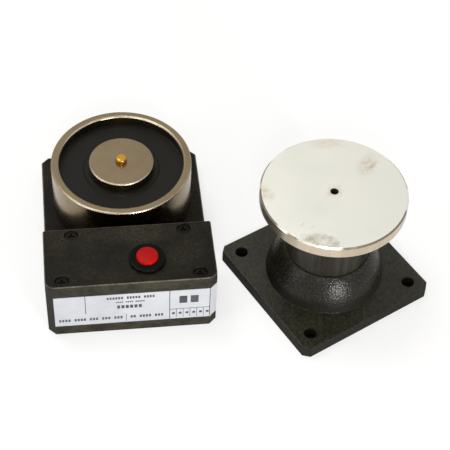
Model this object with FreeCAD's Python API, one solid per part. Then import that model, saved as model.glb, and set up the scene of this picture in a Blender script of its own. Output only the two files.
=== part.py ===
import FreeCAD, Part
import math
import os

# An electromagnetic door holder in its two halves. The magnet unit is fixed to the wall and holds a pot
# magnet, its release button and the wiring. The armature unit is fixed to the door and carries a steel
# disc on a ball joint. Both halves lie on Z = 0 with their fixing faces down. The origin is on the
# magnet's axis, +X is to the right, +Y is to the magnet's end and +Z points out of the wall.
# All sizes are in millimetres.

# Clearances, and how near two places are to count as one
bond_gap = 0.05
running_gap = 0.08
screw_gap = 0.2
moulding_gap = 0.2
same_place = 0.000001

# Housing of the magnet unit
housing_width = 75.0
upper_length = 28.5
lower_length = 71.5
plate_height = 9.0
shell = 3.0
corner_cut = 3.2
plate_round = 0.8
rib_thickness = 1.8
rib_count = 6
hub_radius = 8.0

# Junction box at the foot of the housing
box_length = 33.0
box_height = 33.0
box_wall = 2.6
box_floor = 3.0
cover_thickness = 3.0
cover_corner = 4.2
cover_back_corner = 1.0
cover_round = 0.7
lip_thickness = 1.4
lip_depth = 2.0

# Holes for the wall screws
wall_hole_radius = 2.5
wall_hole_side = 7.0
wall_hole_upper = 7.5
wall_hole_lower = 14.5
wall_boss_radius = 4.6
wall_hole_chamfer = 0.5

# Cover screws
cover_screw_radius = 1.5
cover_screw_length = 12.0
cover_head_radius = 2.8
cover_head_height = 1.3
cover_recess_depth = 2.2
cover_boss_radius = 3.6
back_screw_side = 12.5
back_screw_inset = 3.8
front_screw_side = 7.5
front_screw_inset = 3.6
cover_pilot_margin = 1.0
cross_width = 0.7
cross_length = 3.2
cross_depth = 0.9

# Bare label that wraps one corner of the foot
label_thickness = 0.2
label_low = 6.0
label_high = 26.0

# Pot magnet
cup_radius = 32.5
cup_wall = 3.7
cup_floor = 5.0
face_height = 34.0
rim_round = 0.8
mouth_round = 1.0
cup_foot_chamfer = 0.5
pole_radius = 15.0
pole_round = 0.7
spigot_radius = 8.0
potting_recess = 5.0
potting_depth = 2.5
meniscus_width = 2.2
meniscus_height = 0.4

# Coil on its bobbin
bobbin_wall = 1.4
flange_thickness = 1.4
flange_gap = 0.2
winding_inset = 0.9

# Screws that hold the magnet from behind
magnet_screw_count = 3
magnet_screw_margin = 2.3
magnet_screw_radius = 2.0
magnet_screw_length = 7.0
magnet_head_radius = 3.7
magnet_head_height = 2.4
tapped_margin = 0.5

# Spring-loaded pin that pushes the armature off
pin_radius = 2.6
pin_rise = 2.6
pin_round = 0.9
pin_collar_radius = 3.3
pin_collar_height = 1.2
pin_land = 10.0
pin_stub_radius = 1.6
pin_stub_length = 5.0
pin_chamber_radius = 3.5
pin_plug_height = 4.0
pin_spring_wire = 0.35
pin_spring_turns = 5
plug_slot_width = 1.0
plug_slot_depth = 1.2

# Release button
button_side = 7.5
button_inset = 12.5
bezel_radius = 8.0
bezel_height = 2.0
bezel_round = 0.6
bushing_wall = 0.92
button_depth = 19.0
cap_radius = 4.8
cap_proud = 0.3
cap_edge = 0.9
cap_crown = 0.4
cap_body = 5.5
cap_rod_radius = 2.0
button_travel = 1.6
guide_thickness = 1.5
guide_depth = 9.0
button_spring_wire = 0.3
button_spring_radius = 3.2
button_spring_turns = 3
button_nut_flats = 15.0
button_nut_height = 2.4

# Contacts inside the button
contact_rod_reach = 2.5
bridge_radius = 4.0
bridge_thickness = 0.5
bridge_spigot_radius = 1.0
bridge_spigot_length = 1.0
blade_thickness = 0.6
blade_width = 2.4
tail_clearance = 5.0
contact_pad_inner = 2.7
button_base_thickness = 2.0

# Terminal block
terminal_ways = 4
terminal_pitch = 5.0
terminal_ear = 2.6
terminal_depth = 11.0
terminal_height = 13.0
terminal_side = 13.2
terminal_inset = 14.5
terminal_entry_radius = 1.6
terminal_entry_height = 4.75
terminal_screw_radius = 1.25
terminal_head_radius = 1.7
terminal_head_height = 1.5
terminal_head_sink = 2.5
terminal_slot_width = 0.6
terminal_slot_depth = 0.6
clamp_width = 3.6
clamp_depth = 7.0
clamp_height = 7.4
clamp_bore = 1.5
peg_radius = 0.8
peg_height = 4.0

# How springs and leads are drawn: sides of the wire, chords of a coil or bend, and the sweep's corner style
wire_sides = 8
chords_per_turn = 16
chords_per_bend = 4
mitred_corners = 1

# Insulated leads inside the magnet unit
lead_radius = 0.65
lead_bend = 1.8
lead_spacing = 2.0
lead_exit = 22.0
lead_hole_radius = 2.4
lead_groove_width = 4.6
lead_groove_depth = 2.2
lead_floor = 0.5
lead_rise = 7.5
lead_step = 1.5
lead_entry = 1.2
button_lead_bend = 1.4
button_lead_low = 3.0
button_lead_gap = 2.1

# Cable entry in the floor of the box
cable_hole_radius = 6.0
cable_hole_inset = 17.5
cable_hole_end = 15.5

# Armature unit: where it lies beside the magnet unit
armature_x = 90.0
armature_y = -48.0
armature_turn = 27.0

# Flange and bell of the armature unit
base_side = 70.0
base_height = 6.0
base_cut = 2.8
base_shell = 3.2
base_round = 0.6
base_hole_pitch = 55.0
base_hole_radius = 2.9
base_boss_radius = 5.2
base_ceiling = 2.8
base_rib_thickness = 2.0
base_rib_count = 4
base_rib_start = 45.0
bell_foot_radius = 27.0
bell_top_radius = 19.6
bell_height = 22.3
bell_bulge = 1.1
bell_top_wall = 1.9
bell_top_thickness = 4.0
bell_lip_round = 0.6

# Stem
stem_radius = 19.0
stem_chamfer = 0.6
stem_foot_round = 0.5
stem_spigot_radius = 8.0
stem_bolt_radius = 4.0
stem_bolt_flats = 13.0
stem_bolt_head = 5.3
stem_web = 4.2
stem_washer_radius = 11.0
stem_washer_thickness = 1.6

# Ball joint in the top of the stem
ball_radius = 5.0
ball_drop = 7.5
liner_thickness = 1.45
liner_half_height = 3.6
ring_radius = 10.0
ring_recess = 0.5
ring_mouth_radius = 7.5
ring_grip = 4.0
spanner_hole_radius = 0.8
spanner_hole_depth = 2.0
neck_radius = 3.2
stud_flange_radius = 6.0
stud_flange_height = 1.0
stud_thread_radius = 3.0
stud_thread_length = 4.0
stud_key_flats = 3.0
stud_key_depth = 2.2

# Armature disc
disc_radius = 32.5
disc_thickness = 6.0
disc_chamfer = 0.7
disc_back_chamfer = 0.4
disc_hole_radius = 1.85
disc_face_height = 58.0
disc_gap = 1.5

# Levels and places that follow from the sizes above
half_width = housing_width / 2
upper_end = upper_length
foot_end = -lower_length
step = foot_end + box_length
wall_top = box_height - cover_thickness
core_ceiling = plate_height - shell
cup_inner = cup_radius - cup_wall
magnet_screw_circle = upper_end - shell - magnet_head_radius - magnet_screw_margin
coil_floor = plate_height + cup_floor
potting_top = face_height - potting_recess
coil_top = potting_top - potting_depth
bobbin_radius = pole_radius + bond_gap + bobbin_wall
bobbin_flange_radius = cup_inner - flange_gap
pin_shoulder = face_height - pin_land
pin_foot = pin_shoulder - pin_collar_height
plug_top = plate_height + pin_plug_height
button_x = button_side
button_y = foot_end + button_inset
bezel_top = box_height + bezel_height
bushing_bore = cap_radius + running_gap
bushing_radius = bushing_bore + bushing_wall
button_foot = box_height - button_depth
tail_foot = box_floor + tail_clearance
guide_low = box_height - guide_depth
guide_top = guide_low + guide_thickness
cap_top = bezel_top + button_travel + cap_proud
cap_under = bezel_top - cap_body
bridge_top = guide_low - contact_rod_reach
base_top = button_foot + button_base_thickness
blade_inner = bushing_bore - bond_gap - blade_thickness
terminal_x = -terminal_side
terminal_y = foot_end + terminal_inset
terminal_top = box_floor + terminal_height
entry_level = box_floor + terminal_entry_height
clamp_top = box_floor + clamp_height
disc_back = disc_face_height - disc_thickness
stem_top = disc_back - disc_gap
ball_level = stem_top - ball_drop
liner_radius = ball_radius + running_gap + liner_thickness
socket_radius = liner_radius + running_gap
ring_top = stem_top - ring_recess
bell_ceiling = bell_height - bell_top_thickness
bolt_seat = bell_ceiling - stem_washer_thickness
tapped_end = ball_level - socket_radius - stem_web


def at(x, y, z):
    return FreeCAD.Vector(x, y, z)


def rod(radius, low, high, x=0.0, y=0.0):
    return Part.makeCylinder(radius, high - low, at(x, y, low))


def ball(radius, level):
    return Part.makeSphere(radius, at(0, 0, level))


def block(x_low, x_high, y_low, y_high, low, high):
    return Part.makeBox(x_high - x_low, y_high - y_low, high - low, at(x_low, y_low, low))


def slab(outline, low, high):
    points = [at(x, y, low) for x, y in outline]
    face = Part.Face(Part.makePolygon(points + points[:1]))
    return face.extrude(at(0, 0, high - low))


def turned(profile, x=0.0, y=0.0):
    # A closed outline of (radius, height) points, turned about a vertical axis.
    points = [at(r, 0, z) for r, z in profile]
    face = Part.Face(Part.makePolygon(points + points[:1]))
    solid = face.revolve(at(0, 0, 0), at(0, 0, 1), 360)
    solid.translate(at(x, y, 0))
    return solid


def ring(outer, inner, low, high, x=0.0, y=0.0):
    return rod(outer, low, high, x, y).cut(rod(inner, low, high, x, y))


def hexagon(flats, low, high, x=0.0, y=0.0):
    corner = flats / 2 / math.cos(math.radians(30))
    angles = [math.radians(60 * n) for n in range(6)]
    return slab([(x + corner * math.cos(a), y + corner * math.sin(a)) for a in angles], low, high)


def fused(first, *others):
    return first.fuse(list(others)).removeSplitter()


def straight_rod(radius, start, end):
    return Part.makeCylinder(radius, (end - start).Length, start, end - start)


def wire_section(radius, start, tangent):
    # A polygon across a wire, with one corner level with the wire's middle.
    sideways = tangent.cross(at(0, 0, 1)) if tangent.cross(at(0, 0, 1)).Length > same_place else at(1, 0, 0)
    corner = sideways.normalize() * radius
    turns = [FreeCAD.Rotation(tangent, 360 * n / wire_sides) for n in range(wire_sides)]
    points = [start + turn.multVec(corner) for turn in turns]
    return Part.makePolygon(points + points[:1])


def swept_wire(radius, points):
    # A wire along straight chords, mitred where they meet, which keeps its faces flat and few.
    path = Part.makePolygon(points)
    section = wire_section(radius, points[0], points[1] - points[0])
    return path.makePipeShell([section], True, False, mitred_corners)


def coil_spring(radius, wire, low, high, turns, x=0.0, y=0.0):
    length = high - low - 2 * wire
    helix = Part.makeHelix(length / turns, length, radius)
    spring = swept_wire(wire, helix.discretize(turns * chords_per_turn + 1))
    spring.translate(at(x, y, low + wire))
    return spring


def level_edges(solid, level):
    # Edges that lie wholly at one height.
    return [e for e in solid.Edges if all(abs(v.Z - level) < same_place for v in e.Vertexes)]


def rounded_corner(solid, size, radius, level):
    # A turned solid whose circular edge of this radius at this height is rounded off.
    corner = [e for e in level_edges(solid, level) if abs(e.Curve.Radius - radius) < same_place]
    return solid.makeFillet(size, corner)


def upright_edges(solid, x, y):
    # Vertical edges at one place in plan.
    def here(v):
        return abs(v.X - x) < same_place and abs(v.Y - y) < same_place

    return [e for e in solid.Edges if all(here(v) for v in e.Vertexes)]


def routed_lead(points, bend):
    # A round lead along straight runs that are joined by tangent arcs.
    route = points[:1]
    for before, corner, after in zip(points, points[1:], points[2:]):
        back = (before - corner).normalize()
        ahead = (after - corner).normalize()
        half_angle = back.getAngle(ahead) / 2
        reach = bend / math.tan(half_angle)
        apex = corner + (back + ahead).normalize() * (bend / math.sin(half_angle) - bend)
        arc = Part.Arc(corner + back * reach, apex, corner + ahead * reach)
        route += arc.toShape().discretize(chords_per_bend + 1)
    return swept_wire(lead_radius, route + points[-1:])


def wall_hole_places():
    x = half_width - wall_hole_side
    upper = upper_end - wall_hole_upper
    lower = foot_end + wall_hole_lower
    return [(-x, upper), (x, upper), (-x, lower), (x, lower)]


def cover_screw_places():
    back = half_width - back_screw_side
    front = half_width - front_screw_side
    back_y = step - back_screw_inset
    front_y = foot_end + front_screw_inset
    return [(-back, back_y), (back, back_y), (-front, front_y), (front, front_y)]


def magnet_screw_places():
    places = []
    for n in range(magnet_screw_count):
        angle = math.radians(90 + 360 * n / magnet_screw_count)
        places.append((magnet_screw_circle * math.cos(angle), magnet_screw_circle * math.sin(angle)))
    return places


def terminal_places():
    middle = (terminal_ways - 1) / 2
    return [terminal_x + (n - middle) * terminal_pitch for n in range(terminal_ways)]


def peg_places():
    reach = (terminal_ways * terminal_pitch + terminal_ear) / 2
    return [terminal_x - reach, terminal_x + reach]


def plate_outline(inset, low_end):
    x = half_width - inset
    top = upper_end - inset
    cut = max(corner_cut - inset / 2, corner_cut / 4)
    return [(-x, low_end), (x, low_end), (x, top - cut), (x - cut, top), (-x + cut, top), (-x, top - cut)]


def box_outline():
    x = half_width
    cut = corner_cut
    right = [(x - cut, foot_end), (x, foot_end + cut), (x, step)]
    left = [(-x, step), (-x, foot_end + cut), (-x + cut, foot_end)]
    return right + left


def back_core():
    # The hollow behind the plate, crossed by ribs that run out from a hub under the magnet.
    core = slab(plate_outline(shell, step), 0, core_ceiling)
    kept = [rod(hub_radius, 0, plate_height)]
    kept += [rod(wall_boss_radius, 0, plate_height, x, y) for x, y in wall_hole_places()[:2]]
    for n in range(rib_count):
        rib = block(0, housing_width, -rib_thickness / 2, rib_thickness / 2, 0, plate_height)
        rib.rotate(at(0, 0, 0), at(0, 0, 1), 360 * n / rib_count)
        kept.append(rib)
    return core.cut(kept)


def box_hollow():
    x = half_width - box_wall
    hollow = block(-x, x, foot_end + box_wall, step - box_wall, box_floor, wall_top)
    kept = [rod(cover_boss_radius, 0, wall_top, bx, by) for bx, by in cover_screw_places()]
    kept += [rod(peg_radius, 0, box_floor + peg_height, x, terminal_y) for x in peg_places()]
    return hollow.cut(kept)


def lead_channel():
    groove_end = lead_rise_y()
    half = lead_groove_width / 2
    groove = block(-half, half, groove_end, step, 0, lead_groove_depth)
    shaft = rod(lead_hole_radius, 0, box_floor, 0, groove_end)
    through_seat = rod(lead_hole_radius, 0, plate_height, 0, -lead_exit)
    return [groove, shaft, through_seat]


def lead_rise_y():
    return step - lead_rise


def housing():
    plate = slab(plate_outline(0, step), 0, plate_height)
    top_edges = [e for e in level_edges(plate, plate_height) if e.CenterOfMass.y > step + corner_cut / 2]
    plate = plate.makeFillet(plate_round, top_edges)
    body = plate.fuse(slab(box_outline(), 0, wall_top)).removeSplitter()
    cuts = [back_core(), box_hollow()]
    cuts += lead_channel()
    for x, y in wall_hole_places():
        cuts.append(rod(wall_hole_radius, 0, plate_height, x, y))
    for x, y in wall_hole_places()[:2]:
        wide = wall_hole_radius + wall_hole_chamfer
        low = plate_height - wall_hole_chamfer
        cuts.append(Part.makeCone(wall_hole_radius, wide, wall_hole_chamfer, at(x, y, low)))
    for x, y in magnet_screw_places():
        cuts.append(rod(magnet_screw_radius + screw_gap, 0, plate_height, x, y))
    for x, y in cover_screw_places():
        foot = box_height - cover_recess_depth - cover_screw_length - cover_pilot_margin
        cuts.append(rod(cover_screw_radius + bond_gap, foot, wall_top, x, y))
    cable_x = half_width - cable_hole_inset
    cuts.append(rod(cable_hole_radius, 0, box_floor, cable_x, foot_end + cable_hole_end))
    return body.cut(cuts)


def cover_plate():
    plate = block(-half_width, half_width, foot_end, step, wall_top, box_height)
    near = upright_edges(plate, -half_width, foot_end) + upright_edges(plate, half_width, foot_end)
    plate = plate.makeFillet(cover_corner, near)
    far = upright_edges(plate, -half_width, step) + upright_edges(plate, half_width, step)
    plate = plate.makeFillet(cover_back_corner, far)
    return plate.makeFillet(cover_round, level_edges(plate, box_height))


def cover_lip(inset):
    # A block that fills the mouth of the box, this far in from the housing's outline.
    x = half_width - inset
    return block(-x, x, foot_end + inset, step - inset, wall_top - lip_depth, wall_top)


def cover():
    # The lip runs round inside the box and is broken where the screw bosses stand.
    edge = box_wall + moulding_gap
    lip = cover_lip(edge).cut(cover_lip(edge + lip_thickness))
    low = wall_top - lip_depth
    clear = cover_boss_radius + moulding_gap
    lip = lip.cut([rod(clear, low, wall_top, x, y) for x, y in cover_screw_places()])
    runs = [run for run in lip.Solids if run.Volume > lip_thickness ** 3]
    body = fused(cover_plate(), *runs)
    cuts = [rod(bushing_radius + moulding_gap, low, box_height, button_x, button_y)]
    for x, y in cover_screw_places():
        seat = box_height - cover_recess_depth
        cuts.append(rod(cover_screw_radius + screw_gap, low, box_height, x, y))
        cuts.append(rod(cover_head_radius + 2 * screw_gap, seat, box_height, x, y))
    return body.cut(cuts)


def cross_recess(top, x, y):
    half = cross_length / 2
    width = cross_width / 2
    low = top - cross_depth
    return [
        block(x - half, x + half, y - width, y + width, low, top),
        block(x - width, x + width, y - half, y + half, low, top),
    ]


def cover_screws():
    screws = []
    seat = box_height - cover_recess_depth
    for x, y in cover_screw_places():
        head = rod(cover_head_radius, seat, seat + cover_head_height, x, y)
        shank = rod(cover_screw_radius, seat - cover_screw_length, seat, x, y)
        screws.append(fused(head, shank).cut(cross_recess(seat + cover_head_height, x, y)))
    return Part.makeCompound(screws)


def label_plate():
    left = -half_width + corner_cut
    right = half_width - corner_cut
    slant = label_thickness * math.sqrt(0.5)
    bend = label_thickness * math.tan(math.radians(22.5))
    end_x = half_width - slant
    end_y = foot_end + corner_cut - slant
    out = foot_end - label_thickness
    outline = [
        (left, foot_end),
        (right, foot_end),
        (end_x, end_y),
        (end_x + slant, end_y - slant),
        (right + bend, out),
        (left, out),
    ]
    return slab(outline, label_low, label_high)


def magnet_cup():
    profile = [
        (spigot_radius + bond_gap, plate_height),
        (cup_radius - cup_foot_chamfer, plate_height),
        (cup_radius, plate_height + cup_foot_chamfer),
        (cup_radius, face_height),
        (cup_inner, face_height),
        (cup_inner, coil_floor),
        (spigot_radius + bond_gap, coil_floor),
    ]
    cup = rounded_corner(turned(profile), rim_round, cup_radius, face_height)
    cup = rounded_corner(cup, mouth_round, cup_inner, face_height)
    cuts = [rod(lead_hole_radius, plate_height, coil_floor, 0, -lead_exit)]
    for x, y in magnet_screw_places():
        cuts.append(rod(magnet_screw_radius + bond_gap, plate_height, coil_floor - tapped_margin, x, y))
    return cup.cut(cuts)


def pole_core():
    profile = [
        (pin_chamber_radius, plate_height),
        (spigot_radius, plate_height),
        (spigot_radius, coil_floor),
        (pole_radius, coil_floor),
        (pole_radius, face_height),
        (pin_radius + running_gap, face_height),
        (pin_radius + running_gap, pin_shoulder),
        (pin_chamber_radius, pin_shoulder),
    ]
    return rounded_corner(turned(profile), pole_round, pole_radius, face_height)


def coil_bobbin():
    inner = pole_radius + bond_gap
    profile = [
        (inner, coil_floor),
        (bobbin_flange_radius, coil_floor),
        (bobbin_flange_radius, coil_floor + flange_thickness),
        (bobbin_radius, coil_floor + flange_thickness),
        (bobbin_radius, coil_top - flange_thickness),
        (bobbin_flange_radius, coil_top - flange_thickness),
        (bobbin_flange_radius, coil_top),
        (inner, coil_top),
    ]
    hole = rod(lead_hole_radius, coil_floor, coil_floor + flange_thickness, 0, -lead_exit)
    return turned(profile).cut(hole)


def coil_winding():
    low = coil_floor + flange_thickness
    high = coil_top - flange_thickness
    return ring(bobbin_flange_radius - winding_inset, bobbin_radius + bond_gap, low, high)


def potting():
    inner = pole_radius + bond_gap
    edge = inner + meniscus_width
    profile = [
        (inner, coil_top),
        (cup_inner - bond_gap, coil_top),
        (cup_inner - bond_gap, potting_top + meniscus_height / 2),
        (cup_inner - bond_gap - meniscus_height, potting_top),
        (edge + meniscus_height, potting_top),
        (edge, potting_top + meniscus_height),
        (inner, potting_top + meniscus_height),
    ]
    return turned(profile)


def magnet_screws():
    screws = []
    seat = core_ceiling
    for x, y in magnet_screw_places():
        head = rod(magnet_head_radius, seat - magnet_head_height, seat, x, y)
        shank = rod(magnet_screw_radius, seat, seat + magnet_screw_length, x, y)
        slot_top = seat - magnet_head_height + cross_depth
        screws.append(fused(head, shank).cut(cross_recess(slot_top, x, y)))
    return Part.makeCompound(screws)


def ejector_pin():
    top = face_height + pin_rise
    profile = [
        (0, pin_foot - pin_stub_length),
        (pin_stub_radius, pin_foot - pin_stub_length),
        (pin_stub_radius, pin_foot),
        (pin_collar_radius, pin_foot),
        (pin_collar_radius, pin_shoulder),
        (pin_radius, pin_shoulder),
        (pin_radius, top),
        (0, top),
    ]
    return rounded_corner(turned(profile), pin_round, pin_radius, top)


def ejector_spring():
    middle = (pin_collar_radius + pin_stub_radius) / 2
    return coil_spring(middle, pin_spring_wire, plug_top, pin_foot, pin_spring_turns)


def ejector_plug():
    # Pressed into the foot of the chamber, with a screwdriver slot below.
    radius = pin_chamber_radius - bond_gap
    half = plug_slot_width / 2
    slot = block(-radius, radius, -half, half, plate_height, plate_height + plug_slot_depth)
    return rod(radius, plate_height, plug_top).cut(slot)


def button_body():
    profile = [
        (bushing_bore, button_foot),
        (bushing_radius, button_foot),
        (bushing_radius, box_height),
        (bezel_radius, box_height),
        (bezel_radius, bezel_top),
        (bushing_bore, bezel_top),
        (bushing_bore, guide_top),
        (cap_rod_radius + running_gap, guide_top),
        (cap_rod_radius + running_gap, guide_low),
        (bushing_bore, guide_low),
    ]
    return rounded_corner(turned(profile, button_x, button_y), bezel_round, bezel_radius, bezel_top)


def button_cap():
    # A low crown with a rounded edge, and the guide rod moulded on below.
    crown_radius = (cap_radius ** 2 + cap_crown ** 2) / (2 * cap_crown)
    head = rod(cap_radius, cap_under, cap_top).common(ball(crown_radius, cap_top - crown_radius))
    rim = [e for e in head.Edges if e.BoundBox.ZMin > cap_under and e.BoundBox.DiagonalLength > cap_radius]
    head = head.makeFillet(cap_edge, rim[:1])
    guide = rod(cap_rod_radius, bridge_top, cap_under)
    spigot = rod(bridge_spigot_radius, bridge_top - bridge_spigot_length, bridge_top)
    cap = fused(head, guide, spigot)
    cap.translate(at(button_x, button_y, 0))
    return cap


def button_spring():
    radius = button_spring_radius
    wire = button_spring_wire
    return coil_spring(radius, wire, guide_top, cap_under, button_spring_turns, button_x, button_y)


def button_nut():
    nut = hexagon(button_nut_flats, wall_top - button_nut_height, wall_top, button_x, button_y)
    return nut.cut(rod(bushing_radius + bond_gap, 0, wall_top, button_x, button_y))


def contact_bridge():
    hole = bridge_spigot_radius + bond_gap
    return ring(bridge_radius, hole, bridge_top - bridge_thickness, bridge_top, button_x, button_y)


def contact_blades(gap=0.0):
    # Two angled blades: the pad lies over the bridge and the tail passes down through the base.
    half = blade_width / 2 + gap
    outer = blade_inner + blade_thickness
    pad_low = bridge_top + bond_gap
    blades = []
    for side in (-1, 1):
        xs = sorted([side * (blade_inner - gap), side * (outer + gap)])
        pad_xs = sorted([side * contact_pad_inner, side * outer])
        tail = block(xs[0], xs[1], -half, half, tail_foot, pad_low)
        pad = block(pad_xs[0], pad_xs[1], -half, half, pad_low, pad_low + blade_thickness)
        blade = fused(tail, pad).common(rod(bushing_bore - bond_gap + gap, 0, box_height))
        blade.translate(at(button_x, button_y, 0))
        blades.append(blade)
    return blades


def button_contacts():
    return Part.makeCompound(contact_blades())


def button_base():
    disc = rod(bushing_bore - bond_gap, button_foot, base_top, button_x, button_y)
    return disc.cut(contact_blades(bond_gap))


def terminal_block():
    length = terminal_ways * terminal_pitch + 2 * terminal_ear
    half = terminal_depth / 2
    body = block(
        terminal_x - length / 2,
        terminal_x + length / 2,
        terminal_y - half,
        terminal_y + half,
        box_floor,
        terminal_top,
    )
    peg_top = box_floor + peg_height + bond_gap
    cuts = [rod(peg_radius + bond_gap, box_floor, peg_top, x, terminal_y) for x in peg_places()]
    for x in terminal_places():
        cuts.append(clamp_block(x, bond_gap))
        cuts.append(rod(terminal_head_radius + screw_gap, clamp_top, terminal_top, x, terminal_y))
        near = at(x, terminal_y - half, entry_level)
        cuts.append(straight_rod(terminal_entry_radius, near, near + at(0, terminal_depth, 0)))
    return body.cut(cuts)


def clamp_block(x, gap=0.0):
    wide = clamp_width / 2 + gap
    deep = clamp_depth / 2 + gap
    return block(x - wide, x + wide, terminal_y - deep, terminal_y + deep, box_floor, clamp_top + gap)


def terminal_clamps():
    clamps = []
    for x in terminal_places():
        near = at(x, terminal_y - clamp_depth / 2, entry_level)
        wire_hole = straight_rod(clamp_bore, near, near + at(0, clamp_depth, 0))
        screw_hole = rod(terminal_screw_radius + bond_gap, entry_level, clamp_top, x, terminal_y)
        clamps.append(clamp_block(x).cut([wire_hole, screw_hole]))
    return Part.makeCompound(clamps)


def terminal_screws():
    screws = []
    head_top = terminal_top - terminal_head_sink
    seat = head_top - terminal_head_height
    foot = entry_level + lead_radius + lead_step / 2
    reach = terminal_head_radius
    half = terminal_slot_width / 2
    y = terminal_y
    for x in terminal_places():
        head = rod(terminal_head_radius, seat, head_top, x, y)
        shank = rod(terminal_screw_radius, foot, seat, x, y)
        slot = block(x - reach, x + reach, y - half, y + half, head_top - terminal_slot_depth, head_top)
        screws.append(fused(head, shank).cut(slot))
    return Part.makeCompound(screws)


def coil_leads():
    low = lead_floor + lead_radius
    start = coil_floor + flange_thickness
    rise_y = lead_rise_y()
    entry_y = terminal_y + terminal_depth / 2 - lead_entry
    places = terminal_places()
    leads = []
    for x, way, level in (
        (lead_spacing / 2, places[2], entry_level + lead_step / 2),
        (-lead_spacing / 2, places[3], entry_level - lead_step / 2),
    ):
        route = [
            at(x, -lead_exit, start),
            at(x, -lead_exit, low),
            at(x, rise_y, low),
            at(x, rise_y, level),
            at(way, rise_y, level),
            at(way, entry_y, level),
        ]
        leads.append(routed_lead(route, lead_bend))
    return Part.makeCompound(leads)


def button_leads():
    low = box_floor + button_lead_low
    entry_y = terminal_y - terminal_depth / 2 + lead_entry
    run_y = terminal_y - terminal_depth / 2 - button_lead_gap
    places = terminal_places()
    blade_x = blade_inner + blade_thickness / 2
    level = entry_level - lead_step / 2
    leads = []
    for x, way, y in (
        (button_x - blade_x, places[2], run_y),
        (button_x + blade_x, places[1], run_y - button_lead_gap),
    ):
        route = [
            at(x, button_y, tail_foot),
            at(x, button_y, low),
            at(x, y, low),
            at(way, y, level),
            at(way, entry_y, level),
        ]
        leads.append(routed_lead(route, button_lead_bend))
    return Part.makeCompound(leads)


def square(side, cut):
    h = side / 2
    c = h - cut
    return [(-c, -h), (c, -h), (h, -c), (h, c), (c, h), (-c, h), (-h, c), (-h, -c)]


def bell(foot, top, low, high):
    # A bell with a slightly bulging flank that starts at the flange's top face.
    middle = at((foot + top) / 2 + bell_bulge, 0, (base_height + high) / 2 + bell_bulge)
    flank = Part.Arc(at(foot, 0, base_height), middle, at(top, 0, high)).toShape()
    corners = [(top, high), (0, high), (0, low), (foot, low), (foot, base_height)]
    rest = Part.makePolygon([at(r, 0, z) for r, z in corners])
    face = Part.Face(Part.Wire([flank] + rest.Edges))
    return face.revolve(at(0, 0, 0), at(0, 0, 1), 360)


def base_hole_places():
    p = base_hole_pitch / 2
    return [(-p, -p), (p, -p), (p, p), (-p, p)]


def armature_base():
    flange = slab(square(base_side, base_cut), 0, base_height)
    flange = flange.makeFillet(base_round, level_edges(flange, base_height))
    outer = bell(bell_foot_radius, bell_top_radius, 0, bell_height)
    outer = outer.makeFillet(bell_lip_round, level_edges(outer, bell_height))
    inner = bell(bell_foot_radius - base_shell, bell_top_radius - bell_top_wall, 0, bell_ceiling)
    body = fused(flange, outer)
    core = slab(square(base_side - 2 * base_shell, base_cut), 0, base_ceiling)
    kept = [rod(base_boss_radius, 0, base_height, x, y) for x, y in base_hole_places()]
    kept.append(rod(bell_foot_radius, 0, base_height))
    for n in range(base_rib_count):
        rib = block(0, base_side, -base_rib_thickness / 2, base_rib_thickness / 2, 0, base_height)
        rib.rotate(at(0, 0, 0), at(0, 0, 1), base_rib_start + 360 * n / base_rib_count)
        kept.append(rib)
    cuts = [core.cut(kept), inner]
    cuts.append(rod(stem_spigot_radius + bond_gap, 0, bell_height))
    cuts += [rod(base_hole_radius, 0, base_height, x, y) for x, y in base_hole_places()]
    return body.cut(cuts)


def armature_stem():
    profile = [
        (0, bell_ceiling),
        (stem_spigot_radius, bell_ceiling),
        (stem_spigot_radius, bell_height),
        (stem_radius - stem_foot_round, bell_height),
        (stem_radius, bell_height + stem_foot_round),
        (stem_radius, stem_top - stem_chamfer),
        (stem_radius - stem_chamfer, stem_top),
        (ring_radius + bond_gap, stem_top),
        (ring_radius + bond_gap, ball_level),
        (0, ball_level),
    ]
    tapped = rod(stem_bolt_radius + bond_gap, bell_ceiling, tapped_end)
    return turned(profile).cut([ball(socket_radius, ball_level), tapped])


def stem_bolt():
    head = hexagon(stem_bolt_flats, bolt_seat - stem_bolt_head, bolt_seat)
    return fused(head, rod(stem_bolt_radius, bolt_seat, tapped_end - tapped_margin))


def stem_washer():
    return ring(stem_washer_radius, stem_bolt_radius + screw_gap, bolt_seat, bell_ceiling)


def retaining_ring():
    grip_top = ball_level + ring_grip
    mouth_low = math.sqrt(socket_radius ** 2 - ring_grip ** 2)
    body = rod(ring_radius, ball_level, ring_top)
    mouth = Part.makeCone(mouth_low, ring_mouth_radius, ring_top - grip_top, at(0, 0, grip_top))
    holes = []
    for side in (-1, 1):
        x = side * (ring_radius + ring_mouth_radius) / 2
        holes.append(rod(spanner_hole_radius, ring_top - spanner_hole_depth, ring_top, x, 0))
    lower = ball(socket_radius, ball_level).common(rod(ring_radius, ball_level, grip_top))
    return body.cut([lower, mouth] + holes)


def swivel_liner():
    band = rod(ring_radius, ball_level - liner_half_height, ball_level + liner_half_height)
    return ball(liner_radius, ball_level).common(band).cut(ball(ball_radius + running_gap, ball_level))


def ball_stud():
    flange_low = disc_back - stud_flange_height
    thread_top = disc_back + stud_thread_length
    parts = [
        rod(neck_radius, ball_level, flange_low),
        rod(stud_flange_radius, flange_low, disc_back),
        rod(stud_thread_radius, disc_back, thread_top),
    ]
    key = hexagon(stud_key_flats, thread_top - stud_key_depth, thread_top)
    return fused(ball(ball_radius, ball_level), *parts).cut(key)


def armature_disc():
    profile = [
        (0, disc_back),
        (disc_radius - disc_back_chamfer, disc_back),
        (disc_radius, disc_back + disc_back_chamfer),
        (disc_radius, disc_face_height - disc_chamfer),
        (disc_radius - disc_chamfer, disc_face_height),
        (0, disc_face_height),
    ]
    tapped = rod(stud_thread_radius + bond_gap, disc_back, disc_back + stud_thread_length + tapped_margin)
    return turned(profile).cut([tapped, rod(disc_hole_radius, disc_back, disc_face_height)])


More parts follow.
